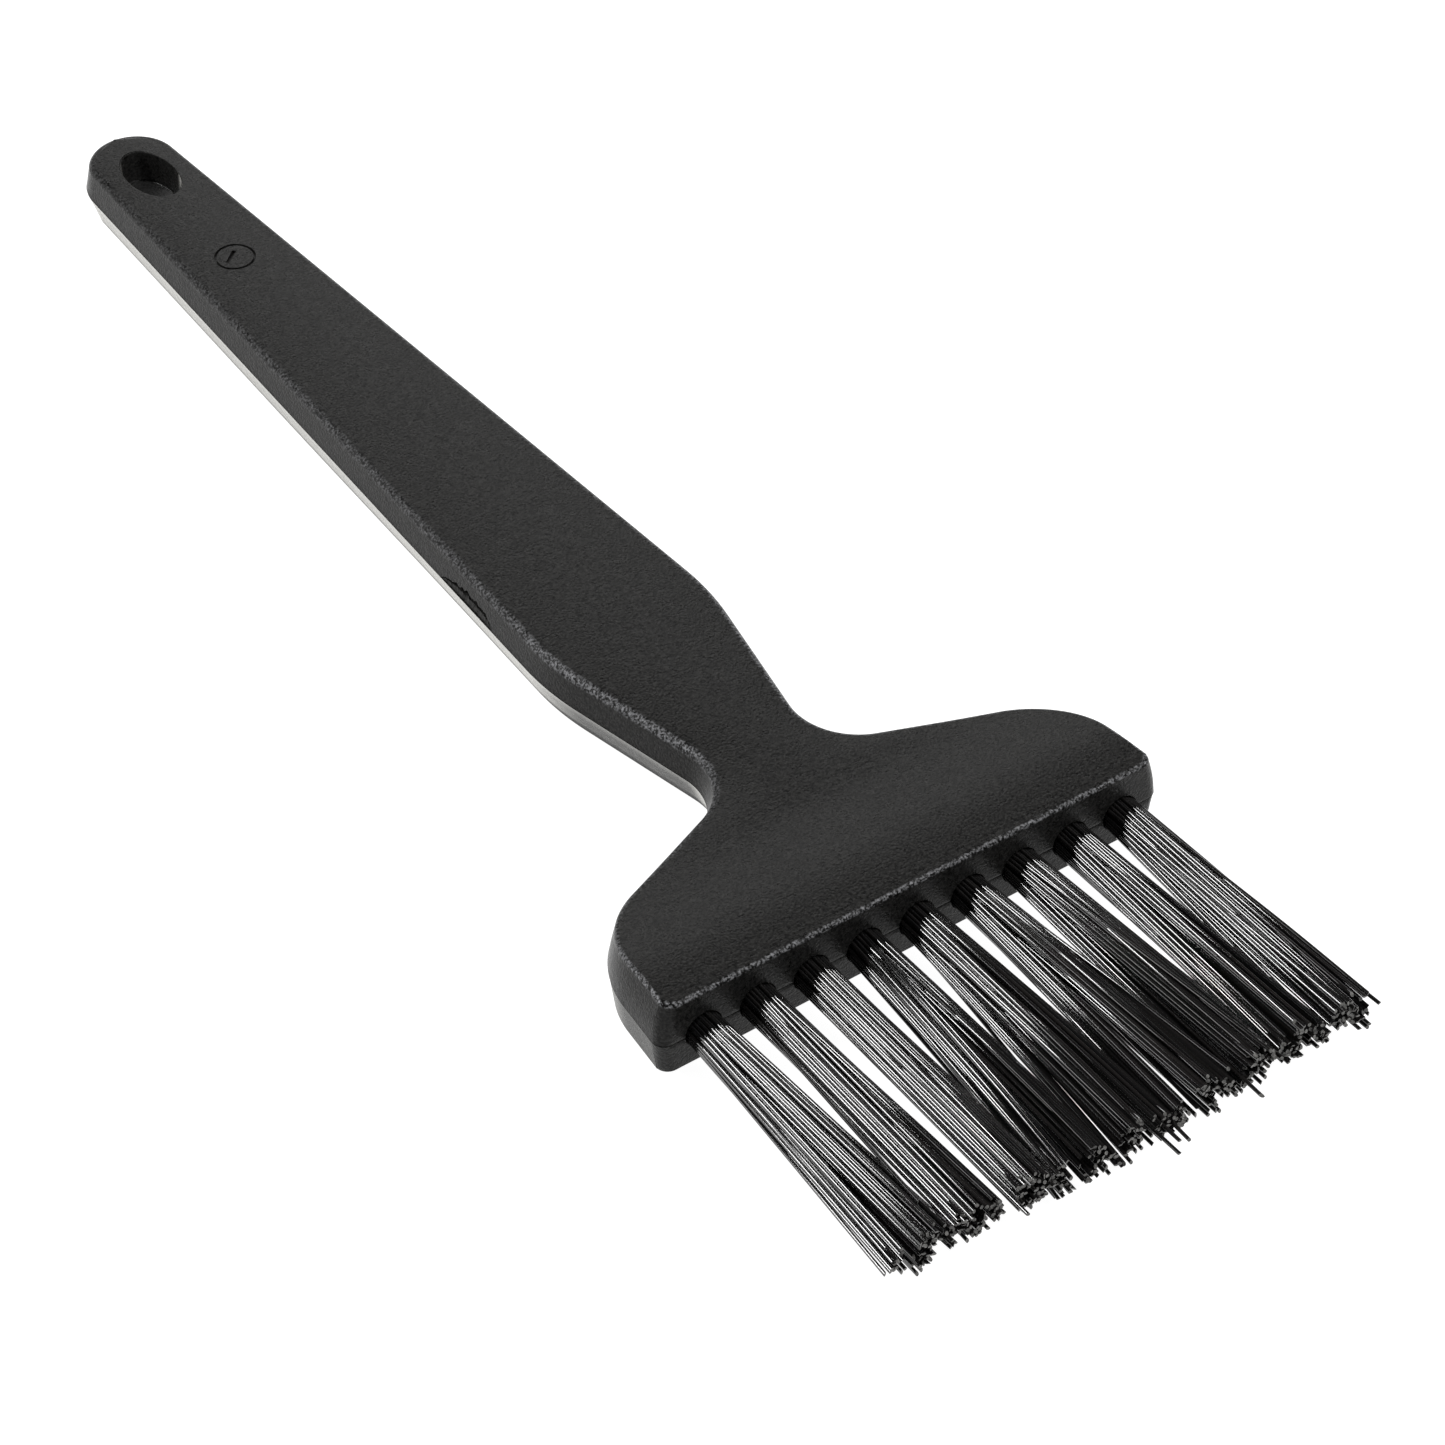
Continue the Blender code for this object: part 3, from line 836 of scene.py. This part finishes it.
def tube(bm, path, tones, tone, tilt):
    """Round filament along a path, its two ends cut slightly askew."""
    radius = FILAMENT_D / 2.0
    loops = []
    across = Vector((1.0, 0.0, 0.0))
    last = len(path) - 1
    for i, point in enumerate(path):
        along = (path[min(i + 1, last)] - path[max(i - 1, 0)]).normalized()
        side = (across - along * across.dot(along)).normalized()
        up = along.cross(side)
        loop = []
        for k in range(FILAMENT_SIDES):
            angle = 2.0 * math.pi * k / FILAMENT_SIDES
            offset = (side * math.cos(angle) + up * math.sin(angle)) * radius
            place = point + offset
            if i in (0, last):
                lean = tilt[0] if i == 0 else tilt[1]
                place += along * (lean.x * offset.x + lean.y * offset.z)
            vert = bm.verts.new(place)
            vert[tones] = tone
            loop.append(vert)
        loops.append(loop)
    bridge(bm, loops)
    for loop in (loops[0], loops[-1]):
        bm.faces.new(loop).material_index = 1


def filament_tuft(number, ends, sections, length, rng, mats):
    """All folded filaments of one tuft as one piece."""
    bm = bmesh.new()
    tones = bm.verts.layers.float.new("tone")
    mine = [i for i, end in enumerate(ends) if end["tuft"] == number]
    for one, two in zip(mine[0::2], mine[1::2]):
        there = free_path(sections[:, one], length[one])
        back = free_path(sections[:, two], length[two])[::-1]
        place = (ends[one]["root"][0] + ends[two]["root"][0]) / 2.0
        path = there + fold_path(ends[one]["row"], place, there[-1], back[0]) + back
        tilt = [Vector(rng.normal(0.0, END_SLANT, 2)) for _ in range(2)]
        tube(bm, path, tones, float(rng.uniform()), tilt)
    bmesh.ops.recalc_face_normals(bm, faces=bm.faces)
    obj = add_object(f"filaments_{number + 1}", bm, mats)
    obj.data.shade_smooth()
    obj.data.set_sharp_from_angle(angle=math.radians(60.0))
    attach(obj, "root")
    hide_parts(tuft_names[number])


# --------------------------------------------------------- floor and lights
def glowing_paper(name, grey, glow, specular):
    """Matt pale material that also gives off a little light."""
    mat, _, shader = new_material(name)
    shader.inputs["Base Color"].default_value = (grey, grey, grey, 1.0)
    shader.inputs["Roughness"].default_value = 0.9
    shader.inputs["Specular IOR Level"].default_value = specular
    shader.inputs["Emission Color"].default_value = (1.0, 1.0, 1.0, 1.0)
    shader.inputs["Emission Strength"].default_value = glow
    return mat


def floor():
    """Plain pale table that also glows softly, like a light table."""
    bm = bmesh.new()
    bmesh.ops.create_grid(bm, x_segments=4, y_segments=4, size=FLOOR_HALF)
    mat = glowing_paper("pale_table", FLOOR_GREY, FLOOR_GLOW, 0.0)
    obj = add_object("floor", bm, [mat])
    obj.location.z = -FLOOR_DROP


def softbox(name, direction, distance, size, radiance, axis=(0.0, 0.0, 1.0)):
    """Rectangular light aimed at the brush, its first side square to an axis."""
    data = bpy.data.lights.new(name, "AREA")
    data.shape = "RECTANGLE"
    data.size, data.size_y = size
    data.energy = radiance * math.pi * size[0] * size[1]
    toward = Vector(direction).normalized()
    along = Vector(axis).cross(toward).normalized()
    turn = Matrix((along, toward.cross(along), toward)).transposed().to_4x4()
    place = toward * distance + Vector((0.0, FRONT_Y * MM, 0.0))
    link_object(name, data).matrix_world = Matrix.Translation(place) @ turn


def tent_direction(tilt, forward):
    """Direction with a given share along Y, tilted so far to the left of it."""
    across = math.sqrt(1.0 - forward * forward)
    turn = math.radians(tilt)
    return (-across * math.sin(turn), forward, across * math.cos(turn))


def backdrop():
    """Low pale wall all round the table."""
    bm = bmesh.new()
    bridge(bm, [circle(bm, WALL_RADIUS, z) for z in (-0.2, WALL_HEIGHT)])
    mat = glowing_paper("pale_wall", WALL_GREY, WALL_GLOW, 0.5)
    add_object("backdrop", bm, [mat])


def studio():
    """Dim surroundings, an arch of softboxes, and soft panels before and behind."""
    world = bpy.data.worlds.new("studio")
    world.use_nodes = True
    background = world.node_tree.nodes["Background"]
    background.inputs["Color"].default_value = (1.0, 1.0, 1.0, 1.0)
    background.inputs["Strength"].default_value = WORLD_GLOW
    bpy.context.scene.world = world
    lengthwise = (0.0, 1.0, 0.0)
    for number, tilt in enumerate(KEY_TILTS):
        softbox(f"key_softbox_{number + 1}", tent_direction(tilt, KEY_FORWARD),
                SOFTBOX_DISTANCE, KEY_SIZE, KEY_RADIANCE, lengthwise)
    softbox("side_softbox", tent_direction(SIDE_TILT, SIDE_FORWARD),
            SOFTBOX_DISTANCE, SIDE_SIZE, SIDE_RADIANCE, lengthwise)
    for name, direction, distance, size, radiance in PANELS:
        softbox(name, direction, distance, size, radiance)


def camera():
    """Camera at the reference view of the brush."""
    azimuth, elevation, roll = (math.radians(angle) for angle in
                                (CAMERA_AZIMUTH, CAMERA_ELEVATION, CAMERA_ROLL))
    back = Vector((math.sin(azimuth) * math.cos(elevation),
                   -math.cos(azimuth) * math.cos(elevation), math.sin(elevation)))
    right = Vector((math.cos(azimuth), math.sin(azimuth), 0.0))
    up = back.cross(right)
    turned_right = right * math.cos(roll) + up * math.sin(roll)
    turned_up = up * math.cos(roll) - right * math.sin(roll)
    data = bpy.data.cameras.new("camera")
    data.sensor_width = 36.0
    data.lens = CAMERA_LENS
    data.clip_start = 0.01
    data.clip_end = 20.0
    obj = link_object("camera", data)
    turn = Matrix((turned_right, turned_up, back)).transposed().to_4x4()
    obj.matrix_world = Matrix.Translation(Vector(CAMERA_PLACE) * MM) @ turn
    bpy.context.scene.camera = obj


# --------------------------------------------------------------------- build
bpy.context.scene.view_settings.view_transform = "Standard"
camera()
studio()
floor()
backdrop()

handle_moulding(moulded_plastic())

draws = np.random.default_rng(FILAMENT_SEED)
ends, sections, lengths = plan_filaments(draws)
nylon = [filament_nylon(), cut_nylon()]
for number in range(len(TUFT_X)):
    filament_tuft(number, ends, sections, lengths, draws, nylon)

wire = galvanised_wire()
for name in anchor_names:
    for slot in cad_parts[name].material_slots:
        slot.material = wire
